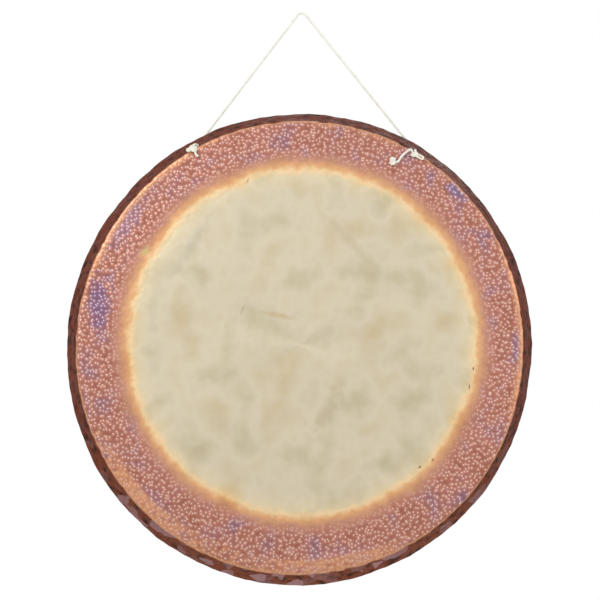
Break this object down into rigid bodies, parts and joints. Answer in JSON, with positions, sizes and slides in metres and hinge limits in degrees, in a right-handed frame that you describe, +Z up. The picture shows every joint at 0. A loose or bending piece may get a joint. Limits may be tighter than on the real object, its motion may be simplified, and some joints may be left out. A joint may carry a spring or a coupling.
{
  "type": "tam gong",
  "caption": "Hand-hammered bronze tam-tam with a turned-back rim, hung from a hook by a knotted cord.",
  "frame": {"origin": "where the cord bears on the hook that holds the gong", "axes": "+Z up, -Y out of the struck face, +X to the right seen from the front"},
  "size_m": [0.8067, 0.1286, 1.0075],
  "materials": {
    "bronze": "hammered, scraped pale in the middle, dark oxide on the rim and back",
    "cord": "braided off-white nylon"
  },
  "bodies": {
    "hook_bend": {"cord_over_hook": "cord"},
    "sling": {"cord_leg_left": "cord", "cord_leg_right": "cord"},
    "gong": {"gong_plate": "bronze", "cord_lead_left": "cord", "cord_lead_right": "cord", "knot_left": "cord", "knot_right": "cord", "cord_free_end": "cord", "knot_end": "cord"}
  },
  "joints": [
    {"name": "hook_swing", "type": "hinge", "parent": "hook_bend", "child": "sling", "pos_m": [0, 0, -0.005], "axis": [1, 0, 0], "range_deg": [-45, 45]},
    {"name": "rim_tilt", "type": "hinge", "parent": "sling", "child": "gong", "pos_m": [0.0078, 0, -0.23025], "axis": [0.9999, 0, -0.011], "range_deg": [-42, 60]}
  ]
}
